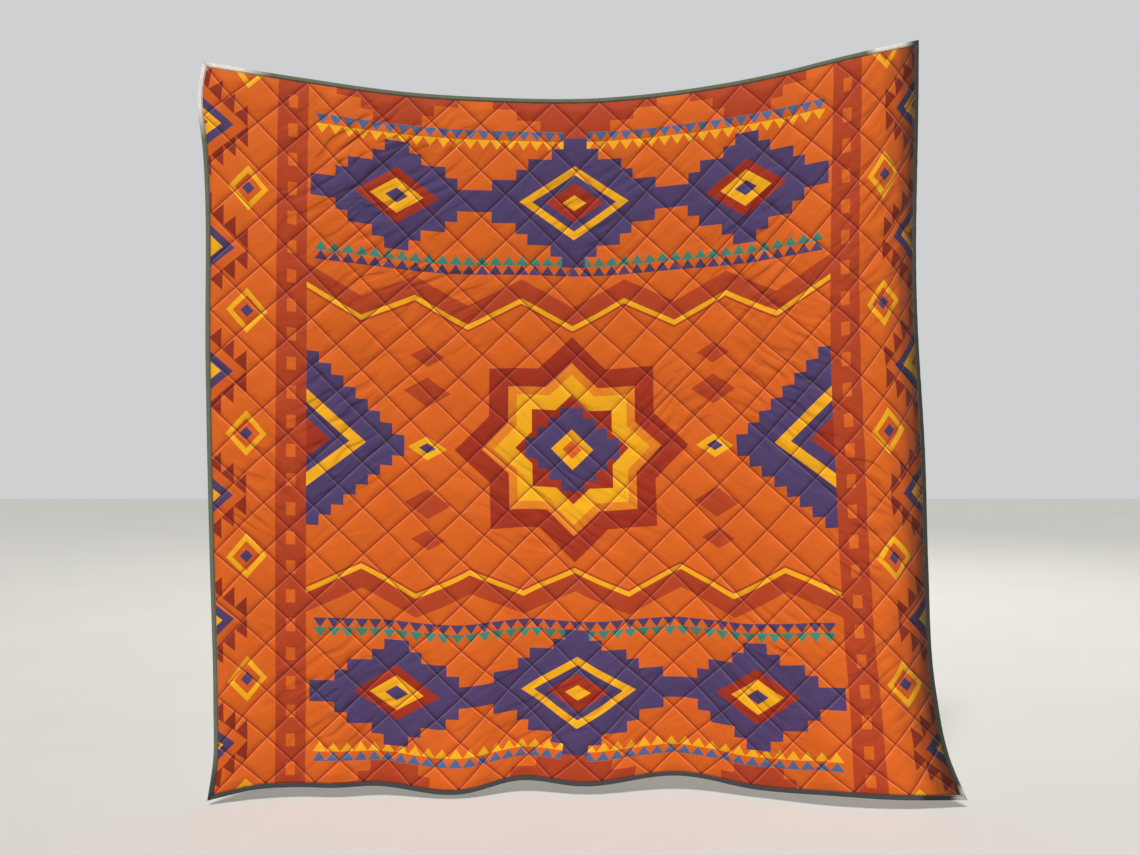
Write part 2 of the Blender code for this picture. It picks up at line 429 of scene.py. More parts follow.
def bindingStrip(edge, material):
    # a flat bar with rounded edges and mitred ends, taken round the cloth's edge
    length = panelWidth if edge in ("top", "bottom") else panelHeight
    width = cloth["bindingWidth"] - binding["gap"]
    bpy.ops.object.select_all(action="DESELECT")
    bpy.ops.mesh.primitive_cube_add(size=1.0)
    strip = bpy.context.object
    strip.name = "binding_" + edge + "_tape"
    strip.dimensions = (length, width, binding["thickness"])
    bpy.ops.object.transform_apply(location=False, rotation=False, scale=True)
    bpy.ops.object.mode_set(mode="EDIT")
    bpy.ops.mesh.select_mode(type="EDGE")
    selectLongEdges(strip.data, length)
    bpy.ops.mesh.bevel(offset=binding["roundness"], segments=binding["roundSegments"], affect="EDGES")
    selectLongEdges(strip.data, length)
    bpy.ops.mesh.subdivide(number_cuts=binding["stations"] - 1)
    bpy.ops.object.mode_set(mode="OBJECT")

    bar = readPoints(strip.data)
    along = bar[:, 0] + length / 2 + cloth["bindingWidth"]
    inward = bar[:, 1] + width / 2
    first = along < cloth["bindingWidth"] + hairline
    last = along > cloth["bindingWidth"] + length - hairline
    whole = length + 2 * cloth["bindingWidth"]
    along = np.where(first, inward + binding["gap"], along)
    along = np.where(last, whole - inward - binding["gap"], along)

    # small puckers where the stitching gathers the tape
    gathered = np.sin(2 * math.pi * along / binding["puckerSpacing"])
    gathered *= np.sin(binding["puckerDrift"] * along)
    out = bar[:, 2] * (1 + 2 * binding["puckerDepth"] / binding["thickness"] * gathered)
    flat = {
        "top": (along, cloth["height"] - inward),
        "bottom": (along, inward),
        "left": (inward, along),
        "right": (cloth["width"] - inward, along),
    }[edge]
    points = np.stack([flat[0], flat[1], out], axis=1)
    flatUvs(strip.data, np.stack([along, inward, out], axis=1))
    if edge in ("top", "left"):
        strip.data.flip_normals()
    writePoints(strip.data, hang(points))
    finishPiece(strip, [material])
    return strip


# Colours read from the object, as sRGB hex
palette = {
    "orange": "#D35C14",
    "orangeWarm": "#DC6717",
    "brick": "#B03E18",
    "red": "#A02C12",
    "redDark": "#8E2A10",
    "purple": "#4C3B68",
    "yellow": "#F2AC12",
    "amber": "#E2801A",
    "teal": "#3F8270",
    "slate": "#4F6590",
    "cream": "#EDE6DA",
    "creamDeep": "#DDD5C6",
    "tape": "#6C705E",
    "tapeDark": "#43484B",
    "tapePale": "#B4B4AC",
    "tapeThread": "#2F3234",
}

# The print, in metres. Places are measured from its middle, and every row is mirrored left and right, and
# up and down. The border repeats along the sides.
clothPrint = {
    "middle": (0.926, 0.921),
    "fieldEdge": 0.685,      # where the side bands start
    "motifs": (
        # stepped, lozenge and box: colour, x, y, half width, half height
        # zigzag: colour, half period, y, thickness, rise
        # teeth: colour, half pitch, y of the base, reach to each side, rise
        ("zigzag", "brick", 0.137, 0.352, 0.070, 0.070),
        ("zigzag", "yellow", 0.137, 0.330, 0.014, 0.070),
        ("teeth", "purple", 0.0171, 0.470, 0.665, 0.025),
        ("teeth", "teal", 0.0171, 0.495, 0.665, 0.025),
        ("teeth", "slate", 0.0171, 0.850, 0.665, -0.025),
        ("teeth", "yellow", 0.0171, 0.825, 0.665, -0.025),
        ("stepped", "brick", 0.0, 0.965, 0.250, 0.128),
        ("stepped", "brick", 0.460, 0.965, 0.170, 0.110),
        ("stepped", "purple", 0.0, 0.664, 0.240, 0.144),
        ("stepped", "purple", 0.460, 0.664, 0.190, 0.120),
        ("lozenge", "yellow", 0.0, 0.664, 0.146, 0.098),
        ("lozenge", "purple", 0.0, 0.664, 0.112, 0.075),
        ("lozenge", "red", 0.0, 0.664, 0.078, 0.052),
        ("lozenge", "yellow", 0.0, 0.664, 0.032, 0.021),
        ("lozenge", "red", 0.460, 0.664, 0.108, 0.074),
        ("lozenge", "yellow", 0.460, 0.664, 0.068, 0.047),
        ("lozenge", "purple", 0.460, 0.664, 0.029, 0.020),
        ("stepped", "purple", 0.685, 0.0, 0.245, 0.205),
        ("lozenge", "yellow", 0.685, 0.0, 0.150, 0.128),
        ("lozenge", "purple", 0.685, 0.0, 0.108, 0.092),
        ("lozenge", "red", 0.685, 0.0, 0.060, 0.051),
        ("box", "red", 0.0, 0.0, 0.218, 0.218),
        ("lozenge", "red", 0.0, 0.0, 0.308, 0.308),
        ("box", "amber", 0.0, 0.0, 0.168, 0.168),
        ("lozenge", "amber", 0.0, 0.0, 0.237, 0.237),
        ("box", "yellow", 0.0, 0.0, 0.146, 0.146),
        ("lozenge", "yellow", 0.0, 0.0, 0.206, 0.206),
        ("box", "red", 0.0, 0.0, 0.106, 0.106),
        ("lozenge", "red", 0.0, 0.0, 0.150, 0.150),
        ("stepped", "purple", 0.0, 0.0, 0.108, 0.104),
        ("lozenge", "yellow", 0.0, 0.0, 0.056, 0.056),
        ("lozenge", "orange", 0.0, 0.0, 0.026, 0.026),
        ("lozenge", "yellow", 0.378, 0.0, 0.050, 0.032),
        ("lozenge", "purple", 0.378, 0.0, 0.022, 0.014),
        ("lozenge", "brick", 0.378, 0.150, 0.060, 0.040),
        ("lozenge", "brick", 0.378, 0.246, 0.044, 0.028),
    ),
    "step": (0.031, 0.0285, 1.0),    # steps across and up of the stepped lozenges
    "bandHalfWidth": 0.038,
    "bandMiddle": 0.723,
    "windowHalfWidth": 0.0115,
    "windowHalfHeight": 0.017,
    "windowPitch": 0.0758,
    "diamondMiddle": 0.832,
    "diamondPitch": 0.3153,
    "diamonds": (  # colour, half width, half height
        ("yellow", 0.050, 0.058), ("orange", 0.034, 0.0385), ("purple", 0.016, 0.017),
    ),
    "nestMiddle": 0.953,
    "nestSlope": 0.88,
    "nests": (  # colour, half width of each half lozenge at the edge
        ("orange", 0.121), ("purple", 0.089), ("yellow", 0.060), ("brick", 0.030),
    ),
    "toothPitch": 0.03025,
    "toothRise": 0.054,
    "toothSlope": 0.92,
    "groundClouds": 5.0,     # scale of the slow change between the two oranges
    "dyeClouds": 14.0,       # scale of the uneven dye, then its swing and its least share
    "dyeSwing": 0.22,
    "dyeLowest": 0.89,
    # painted shade: the cloth's colour is drawn darker towards the right edge, where it turns back
    "edgeShade": 0.140,      # how far in the shade of the turned right edge reaches
    "edgeShares": ((0.0, 0.07), (0.20, 0.20), (0.40, 0.46), (0.65, 0.82), (1.0, 1.0)),
    "drift": (  # up, then how far out of true the print runs: left and right side sideways, then upwards
        (0.00, -0.009, 0.000, 0.003, -0.003),
        (0.12, -0.009, 0.019, 0.003, -0.010),
        (0.25, -0.008, 0.022, 0.003, -0.010),
        (0.45, -0.006, 0.010, 0.004, -0.013),
        (0.65, -0.003, -0.003, 0.005, -0.015),
        (0.90, 0.001, -0.013, 0.005, -0.013),
        (1.40, 0.010, -0.012, 0.004, -0.008),
        (1.86, 0.022, -0.006, 0.002, -0.006),
    ),
    "driftSides": (0.20, 1.66),
}

# How each seam looks across itself, in millimetres: painted shade as a dark line, and below it a painted
# highlight on the upper edge of the next diamond. Rows: place towards the upper or the lower right, and
# share of the cloth's colour.
seamLooks = {
    "falling": (
        (-14, 1.0), (-1.4, 1.0), (-0.2, 0.86), (0.8, 0.58),
        (2.7, 0.58), (4.2, 0.84), (8, 0.95), (14, 1.0),
    ),
    "rising": (
        (-14, 1.0), (-8, 0.95), (-4.2, 0.84), (-2.7, 0.58),
        (-0.8, 0.58), (0.2, 0.86), (1.4, 1.0), (14, 1.0),
    ),
    "fallingHighlight": -2.5,      # from the line to the middle of the lit edge
    "risingHighlight": 2.5,
    "highlightHalfWidth": 2.8,
    "stitchPitch": 4.2,
    "stitchLength": 3.024,
    "stitchWidth": 1.1,
}
millimetres = 1000           # in a metre

# The cloth's relief that is too fine for its mesh, in metres
reliefLooks = {
    "fibreScale": 820.0,             # real fibres are 0.3 mm apart, drawn at about 1.2 mm to show
    "fibreDepth": 0.00012,
    "plainDetail": 1.0,
    "wander": (0.08, 0.08, 0.0),     # how far a crease strays from a straight line
    "wanderScale": 6.0,
    "leans": (("risingCreases", -0.62), ("fallingCreases", 0.66)),
    "stretch": (9.0, 40.0, 1.0),     # how close together the creases lie, along and across them
    "creaseDetail": 0.6,
    "creaseRoughness": 0.4,
    "trough": (0.44, 0.70),
    "creaseDepth": 0.0050,
}

# The face is printed brushed microfibre, the back is plain brushed polyester; each also holds the painted
# shade in the seams and the painted highlight beside them
faceFinish = {
    "roughness": 0.72,
    "specular": 0.22,
    "sheen": 0.12,
    "sheenSpread": 0.45,
    "seamTint": (1.0, 1.75, 1.9),    # light that bounces inside a groove comes out redder
    "paintedHighlightGain": (0.22, 0.42, 0.34),
    "paintedHighlightAdd": (0.044, 0.030, 0.036),
    "stitchTone": (0.62, 0.50, 0.52, 1.0),
}
backFinish = {
    "roughness": 0.82,
    "specular": 0.20,
    "sheen": 0.15,
    "sheenSpread": 0.45,
    "seamTint": (0.5, 0.55, 0.6),
    "paintedHighlightGain": (0.03, 0.03, 0.03),
    "paintedHighlightAdd": (0.0, 0.0, 0.0),
    "stitchTone": (0.42, 0.36, 0.32, 1.0),
    "clouds": 9.0,           # scale of the slow change between the two creams
}

white = (1.0, 1.0, 1.0, 1.0)


def linear(hexColour):
    values = [int(hexColour[i:i + 2], 16) / 255 for i in (1, 3, 5)]
    return [v / 12.92 if v <= 0.04045 else ((v + 0.055) / 1.055) ** 2.4 for v in values] + [1.0]


def addNode(tree, kind, inputs=(), **settings):
    # adds a node, sets its settings, and links or fills its inputs by place or by name
    node = tree.nodes.new(kind)
    for name, value in settings.items():
        setattr(node, name, value)
    pairs = inputs.items() if isinstance(inputs, dict) else enumerate(inputs)
    for key, value in pairs:
        if isinstance(value, bpy.types.NodeSocket):
            tree.links.new(value, node.inputs[key])
        elif isinstance(value, bpy.types.Node):
            tree.links.new(value.outputs[0], node.inputs[key])
        else:
            node.inputs[key].default_value = value
    return node


def newMaterial(name):
    material = bpy.data.materials.new(name)
    material.use_nodes = True
    material.node_tree.nodes.clear()
    return material, material.node_tree


def fillRamp(ramp, rows):
    # rows of place and grey value or colour
    elements = ramp.color_ramp.elements
    while len(elements) < len(rows):
        elements.new(1.0)
    for element, (place, value) in zip(elements, rows):
        element.position = place
        element.color = (value, value, value, 1.0) if isinstance(value, (int, float)) else value


def paintLayers(tree, under, layers):
    # lays each colour over the ones before it, where its mask is 1
    share, first, second, result = 0, 6, 7, 2    # the mix node's sockets for colours
    for mask, colour in layers:
        inputs = {share: mask, first: under, second: colour}
        under = addNode(tree, "ShaderNodeMix", inputs, data_type="RGBA").outputs[result]
    return under


def motifMask(tree, folded, foldedX, foldedY, kind, x, y, halfWidth, halfHeight):
    # 1 inside one motif of the print, 0 outside
    if kind == "zigzag":
        wave = addNode(tree, "ShaderNodeMath", [foldedX, x], operation="PINGPONG")
        line = addNode(tree, "ShaderNodeMath", [wave, halfHeight / x, y], operation="MULTIPLY_ADD")
        return addNode(tree, "ShaderNodeMath", [foldedY, line, halfWidth / 2], operation="COMPARE")
    if kind == "teeth":
        wave = addNode(tree, "ShaderNodeMath", [foldedX, x], operation="PINGPONG")
        share = addNode(tree, "ShaderNodeMath", [wave, 1 / x, 0.0], operation="MULTIPLY_ADD")
        rise = [foldedY, 1 / halfHeight, -y / halfHeight]
        rise = addNode(tree, "ShaderNodeMath", rise, operation="MULTIPLY_ADD")
        both = addNode(tree, "ShaderNodeMath", [share, rise], operation="ADD")
        under = addNode(tree, "ShaderNodeMath", [both, 1.0], operation="LESS_THAN")
        above = addNode(tree, "ShaderNodeMath", [rise, 0.0], operation="GREATER_THAN")
        inside = addNode(tree, "ShaderNodeMath", [foldedX, halfWidth], operation="LESS_THAN")
        tooth = addNode(tree, "ShaderNodeMath", [under, above], operation="MULTIPLY")
        return addNode(tree, "ShaderNodeMath", [tooth, inside], operation="MULTIPLY")
    apart = addNode(tree, "ShaderNodeVectorMath", [folded, (x, y, 0.0)], operation="SUBTRACT")
    away = addNode(tree, "ShaderNodeVectorMath", [apart], operation="ABSOLUTE")
    if kind == "stepped":
        away = addNode(tree, "ShaderNodeVectorMath", [away, clothPrint["step"]], operation="SNAP")
    share = [away, (1 / halfWidth, 1 / halfHeight, 0.0)]
    share = addNode(tree, "ShaderNodeVectorMath", share, operation="MULTIPLY")
    parts = addNode(tree, "ShaderNodeSeparateXYZ", [share])
    joined = "MAXIMUM" if kind == "box" else "ADD"
    reach = addNode(tree, "ShaderNodeMath", [parts.outputs[0], parts.outputs[1]], operation=joined)
    return addNode(tree, "ShaderNodeMath", [reach, 1.0], operation="LESS_THAN")


def fieldLayers(tree, folded, foldedX, foldedY):
    # the field's own layout: a star, stepped lozenges, zigzags and rows of teeth
    layers = []
    for kind, colour, x, y, halfWidth, halfHeight in clothPrint["motifs"]:
        mask = motifMask(tree, folded, foldedX, foldedY, kind, x, y, halfWidth, halfHeight)
        layers.append((mask, linear(palette[colour])))
    return layers


def borderLayers(tree, ground, foldedX, foldedY):
    # the band with its windows, the column of diamonds, and the half lozenges with their saw teeth
    edge = clothPrint["fieldEdge"]
    beyond = addNode(tree, "ShaderNodeMath", [foldedX, edge], operation="GREATER_THAN")

    middle = clothPrint["bandMiddle"]
    inBand = [foldedX, middle, clothPrint["bandHalfWidth"]]
    inBand = addNode(tree, "ShaderNodeMath", inBand, operation="COMPARE")
    halfPitch = clothPrint["windowPitch"] / 2
    between = addNode(tree, "ShaderNodeMath", [foldedY, halfPitch], operation="PINGPONG")
    fromWindow = halfPitch - clothPrint["windowHalfHeight"]
    tall = addNode(tree, "ShaderNodeMath", [between, fromWindow], operation="GREATER_THAN")
    wide = [foldedX, middle, clothPrint["windowHalfWidth"]]
    wide = addNode(tree, "ShaderNodeMath", wide, operation="COMPARE")
    window = addNode(tree, "ShaderNodeMath", [tall, wide], operation="MULTIPLY")
    brickOnly = addNode(tree, "ShaderNodeMath", [inBand, window], operation="SUBTRACT")
    layers = [(beyond, ground), (brickOnly, linear(palette["brick"]))]

    # height above or below the nearest diamond, and the nearest half lozenge between two diamonds
    half = clothPrint["diamondPitch"] / 2
    fromDiamond = addNode(tree, "ShaderNodeMath", [foldedY, half], operation="PINGPONG")
    fromNest = addNode(tree, "ShaderNodeMath", [half, fromDiamond], operation="SUBTRACT")
    sideways = addNode(tree, "ShaderNodeMath", [foldedX, clothPrint["diamondMiddle"]], operation="SUBTRACT")
    sideways = addNode(tree, "ShaderNodeMath", [sideways], operation="ABSOLUTE")
    for colour, halfWidth, halfHeight in clothPrint["diamonds"]:
        tilt = addNode(tree, "ShaderNodeMath", [fromDiamond, 1 / halfHeight, 0.0], operation="MULTIPLY_ADD")
        reach = addNode(tree, "ShaderNodeMath", [sideways, 1 / halfWidth, tilt], operation="MULTIPLY_ADD")
        mask = addNode(tree, "ShaderNodeMath", [reach, 1.0], operation="LESS_THAN")
        layers.append((mask, linear(palette[colour])))

    # saw teeth: upright on the inner side, growing along each column, on a sloping line
    inward = addNode(tree, "ShaderNodeMath", [clothPrint["nestMiddle"], foldedX], operation="SUBTRACT")
    widest = clothPrint["nests"][0][1]
    slope = clothPrint["toothSlope"]
    line = addNode(tree, "ShaderNodeMath", [inward, -slope, widest * slope], operation="MULTIPLY_ADD")
    past = addNode(tree, "ShaderNodeMath", [fromNest, line], operation="SUBTRACT")
    columns = addNode(tree, "ShaderNodeMath", [inward, 1 / clothPrint["toothPitch"]], operation="MULTIPLY")
    along = addNode(tree, "ShaderNodeMath", [columns], operation="FRACT")
    tallest = addNode(tree, "ShaderNodeMath", [along, clothPrint["toothRise"]], operation="MULTIPLY")
    below = addNode(tree, "ShaderNodeMath", [past, tallest], operation="LESS_THAN")
    above = addNode(tree, "ShaderNodeMath", [past, 0.0], operation="GREATER_THAN")
    near = addNode(tree, "ShaderNodeMath", [inward, widest], operation="LESS_THAN")
    tooth = addNode(tree, "ShaderNodeMath", [below, above], operation="MULTIPLY")
    tooth = addNode(tree, "ShaderNodeMath", [tooth, near], operation="MULTIPLY")
    layers.append((tooth, linear(palette["redDark"])))

    lean = [fromNest, 1 / clothPrint["nestSlope"], inward]
    lean = addNode(tree, "ShaderNodeMath", lean, operation="MULTIPLY_ADD")
    for colour, reach in clothPrint["nests"]:
        mask = addNode(tree, "ShaderNodeMath", [lean, reach], operation="LESS_THAN")
        layers.append((mask, linear(palette[colour])))
    return layers


def seamLines(tree, flatX, flatY):
    # millimetres from the nearest falling and rising seam, signed
    inner = cloth["bindingWidth"]
    pitchX = panelWidth / cloth["squaresAcross"]
    pitchY = panelHeight / cloth["squaresDown"]
    apart = millimetres / math.hypot(1 / pitchX, 1 / pitchY)
    column = addNode(tree, "ShaderNodeMath", [flatX, 1 / pitchX, -inner / pitchX], operation="MULTIPLY_ADD")
    distances = []
    for way in (1, -1):
        row = [flatY, way / pitchY, -way * inner / pitchY]
        row = addNode(tree, "ShaderNodeMath", row, operation="MULTIPLY_ADD")
        total = addNode(tree, "ShaderNodeMath", [column, row], operation="ADD")
        shifted = addNode(tree, "ShaderNodeMath", [total, 0.5], operation="ADD")
        phase = addNode(tree, "ShaderNodeMath", [shifted, 1.0, 0.0], operation="WRAP")
        distance = addNode(tree, "ShaderNodeMath", [phase, apart, -apart / 2], operation="MULTIPLY_ADD")
        distances.append(distance)
    return distances


def seamShade(tree, distances, tint):
    # the share of the cloth's colour that the painted shade of the two families of seams leaves, warmer
    # where it is deeper
    shares = []
    for distance, looks in zip(distances, (seamLooks["falling"], seamLooks["rising"])):
        span = 2 * looks[-1][0]
        place = addNode(tree, "ShaderNodeMath", [distance, 1 / span, 0.5], operation="MULTIPLY_ADD")
        ramp = addNode(tree, "ShaderNodeValToRGB", [place])
        rows = [(mm / span + 0.5, [share ** power for power in tint] + [1.0]) for mm, share in looks]
        fillRamp(ramp, rows)
        shares.append(ramp.outputs[0])
    return addNode(tree, "ShaderNodeVectorMath", shares, operation="MULTIPLY")


def seamPaintedHighlight(tree, distances):
    # 1 on the thin painted highlight beside each seam, fading to 0
    highlights = []
    for distance, middle in zip(distances, (seamLooks["fallingHighlight"], seamLooks["risingHighlight"])):
        apart = addNode(tree, "ShaderNodeMath", [distance, middle], operation="SUBTRACT")
        away = addNode(tree, "ShaderNodeMath", [apart], operation="ABSOLUTE")
        fade = {"Value": away, "From Max": seamLooks["highlightHalfWidth"], "To Min": 1.0, "To Max": 0.0}
        highlights.append(addNode(tree, "ShaderNodeMapRange", fade).outputs[0])
    return addNode(tree, "ShaderNodeMath", highlights, operation="MAXIMUM")


def stitchMask(tree, distances):
    # short stitches along each seam: where one family is at its line, the other runs along it
    masks = []
    halfWidth = seamLooks["stitchWidth"] / 2
    for line, along in (distances, distances[::-1]):
        onLine = addNode(tree, "ShaderNodeMath", [line, 0.0, halfWidth], operation="COMPARE")
        beat = addNode(tree, "ShaderNodeMath", [along, seamLooks["stitchPitch"] / 2], operation="PINGPONG")
        sewn = addNode(tree, "ShaderNodeMath", [beat, seamLooks["stitchLength"] / 2], operation="LESS_THAN")
        masks.append(addNode(tree, "ShaderNodeMath", [onLine, sewn], operation="MULTIPLY"))
    return addNode(tree, "ShaderNodeMath", masks, operation="MAXIMUM")


def clothRelief(tree, flat):
    # brushed fibres, and creases that the stitching draws in: soft troughs in two leans
    detail = reliefLooks["plainDetail"]
    weave = {"Vector": flat, "Scale": reliefLooks["fibreScale"], "Detail": detail}
    weave = addNode(tree, "ShaderNodeTexNoise", weave)
    heights = addNode(tree, "ShaderNodeMath", [weave, reliefLooks["fibreDepth"]], operation="MULTIPLY")
    strays = {"Vector": flat, "Scale": reliefLooks["wanderScale"], "Detail": detail}
    strays = addNode(tree, "ShaderNodeTexNoise", strays)
    moved = [strays.outputs["Color"], reliefLooks["wander"], flat]
    moved = addNode(tree, "ShaderNodeVectorMath", moved, operation="MULTIPLY_ADD")
    for name, turn in reliefLooks["leans"]:
        share = addNode(tree, "ShaderNodeAttribute", attribute_name=name).outputs["Fac"]
        turned = addNode(tree, "ShaderNodeMapping", {"Vector": moved, "Rotation": (0, 0, turn)})
        drawn = addNode(tree, "ShaderNodeVectorMath", [turned, reliefLooks["stretch"]], operation="MULTIPLY")
        noise = addNode(tree, "ShaderNodeTexNoise", {
            "Vector": drawn, "Scale": 1.0,
            "Detail": reliefLooks["creaseDetail"], "Roughness": reliefLooks["creaseRoughness"],
        })
        start, end = reliefLooks["trough"]
        trough = {"Value": noise.outputs[0], "From Min": start, "From Max": end}
        trough = addNode(tree, "ShaderNodeMapRange", trough, interpolation_type="SMOOTHSTEP")
        deep = addNode(tree, "ShaderNodeMath", [share, -reliefLooks["creaseDepth"]], operation="MULTIPLY")
        heights = addNode(tree, "ShaderNodeMath", [trough, deep, heights], operation="MULTIPLY_ADD")
    return addNode(tree, "ShaderNodeBump", {"Strength": 1.0, "Distance": 1.0, "Height": heights})


def clothSurface(tree, colour, distances, flat, finish):
    # painted shade in the seams and a painted highlight beside them, stitches and relief on top of a colour,
    # and the cloth's gloss
    shade = seamShade(tree, distances, finish["seamTint"])
    colour = addNode(tree, "ShaderNodeVectorMath", [colour, shade], operation="MULTIPLY")
    # painted highlight: a paler line in the cloth's colour beside each seam
    paintedHighlight = seamPaintedHighlight(tree, distances)
    gain = [paintedHighlight, finish["paintedHighlightGain"], white[:3]]
    gain = addNode(tree, "ShaderNodeVectorMath", gain, operation="MULTIPLY_ADD")
    colour = addNode(tree, "ShaderNodeVectorMath", [colour, gain], operation="MULTIPLY")
    lit = [paintedHighlight, finish["paintedHighlightAdd"], colour]
    colour = addNode(tree, "ShaderNodeVectorMath", lit, operation="MULTIPLY_ADD")
    thread = paintLayers(tree, white, [(stitchMask(tree, distances), finish["stitchTone"])])
    colour = addNode(tree, "ShaderNodeVectorMath", [colour, thread], operation="MULTIPLY")
    shader = addNode(tree, "ShaderNodeBsdfPrincipled", {
        "Base Color": colour,
        "Roughness": finish["roughness"],
        "Specular IOR Level": finish["specular"],
        "Sheen Weight": finish["sheen"],
        "Sheen Roughness": finish["sheenSpread"],
        "Normal": clothRelief(tree, flat),
    })
    addNode(tree, "ShaderNodeOutputMaterial", [shader])


def printedMicrofibre():
    # brushed polyester microfibre, printed: soft and nearly matt, with a faint sheen
    material, tree = newMaterial("printedMicrofibre")
    flat = addNode(tree, "ShaderNodeUVMap", uv_map="flatCloth").outputs[0]
    flatParts = addNode(tree, "ShaderNodeSeparateXYZ", [flat])
    flatX, flatY = flatParts.outputs[0], flatParts.outputs[1]
    middle = (*clothPrint["middle"], 0.0)
    printed = addNode(tree, "ShaderNodeUVMap", uv_map="printRun")
    moved = addNode(tree, "ShaderNodeVectorMath", [printed, middle], operation="SUBTRACT")
    folded = addNode(tree, "ShaderNodeVectorMath", [moved], operation="ABSOLUTE").outputs[0]
    foldedParts = addNode(tree, "ShaderNodeSeparateXYZ", [folded])
    foldedX, foldedY = foldedParts.outputs[0], foldedParts.outputs[1]

    clouds = {"Vector": flat, "Scale": clothPrint["groundClouds"], "Detail": 3.0}
    clouds = addNode(tree, "ShaderNodeTexNoise", clouds)
    ground = paintLayers(tree, linear(palette["orange"]), [(clouds, linear(palette["orangeWarm"]))])
    colour = paintLayers(tree, ground, fieldLayers(tree, folded, foldedX, foldedY))
    colour = paintLayers(tree, colour, borderLayers(tree, ground, foldedX, foldedY))

    # the dye is a little uneven, and the right edge is painted darker where it turns back: painted shade in
    # the cloth's colour
    uneven = {"Vector": flat, "Scale": clothPrint["dyeClouds"], "Detail": 4.0}
    uneven = addNode(tree, "ShaderNodeTexNoise", uneven)
    dye = [uneven, clothPrint["dyeSwing"], clothPrint["dyeLowest"]]
    dye = addNode(tree, "ShaderNodeMath", dye, operation="MULTIPLY_ADD")
    inside = addNode(tree, "ShaderNodeMath", [cloth["width"], flatX], operation="SUBTRACT")
    inside = addNode(tree, "ShaderNodeMath", [inside, 1 / clothPrint["edgeShade"]], operation="MULTIPLY")
    shaded = addNode(tree, "ShaderNodeValToRGB", [inside])
    fillRamp(shaded, clothPrint["edgeShares"])
    shaded.color_ramp.interpolation = "EASE"
    unevenToneAndPaintedShade = addNode(tree, "ShaderNodeMath", [dye, shaded], operation="MULTIPLY")
    colour = addNode(tree, "ShaderNodeVectorMath", [colour, unevenToneAndPaintedShade], operation="MULTIPLY")

    clothSurface(tree, colour, seamLines(tree, flatX, flatY), flat, faceFinish)
    return material


def plainBacking():
    # undyed brushed polyester: matt, slightly warm
    material, tree = newMaterial("plainPolyesterBacking")
    flat = addNode(tree, "ShaderNodeUVMap", uv_map="flatCloth").outputs[0]
    flatParts = addNode(tree, "ShaderNodeSeparateXYZ", [flat])
    clouds = {"Vector": flat, "Scale": backFinish["clouds"], "Detail": 3.0}
    clouds = addNode(tree, "ShaderNodeTexNoise", clouds)
    ground = paintLayers(tree, linear(palette["creamDeep"]), [(clouds, linear(palette["cream"]))])
    distances = seamLines(tree, flatParts.outputs[0], flatParts.outputs[1])
    clothSurface(tree, ground, distances, flat, backFinish)
    return material


# The binding's tape, with its sizes in metres
tapeLooks = {
    "paleCorners": (  # place, reach, colour
        ((-0.930, -0.030, 0.060), 0.13, "cream"),
        ((0.782, -0.028, 0.122), 0.058, "cream"),
        ((0.967, -0.050, -1.756), 0.035, "tapePale"),
    ),
    "paleFade": (1.3, 0.7),          # shares of the reach where the pale tone starts and is full
    "darkHem": (0.025, 0.06),        # shares of the height where the dark hem turns to plain tape
    # how far right, and the share of the tape's colour left there: painted shade where the right edge turns
    # back
    "shadedSide": ((0.846, 1.0), (0.863, 0.28), (0.925, 0.28), (0.960, 1.0)),
    "ribPitch": 0.0016,              # real ribs are 0.6 mm apart, drawn wider so that they show
    "ribDepth": 0.0004,
    "ribStrength": 0.5,
    "wearScale": 60.0,
    "wearSwing": 0.4,
    "wearLowest": 0.78,
    "stitchInward": 0.0098,
    "stitchHalfWidth": 0.0006,
    "stitchPitch": 0.0044,
    "stitchLength": 0.0030,
    "roughness": 0.85,
    "specular": 0.2,
    "sheen": 0.1,
}


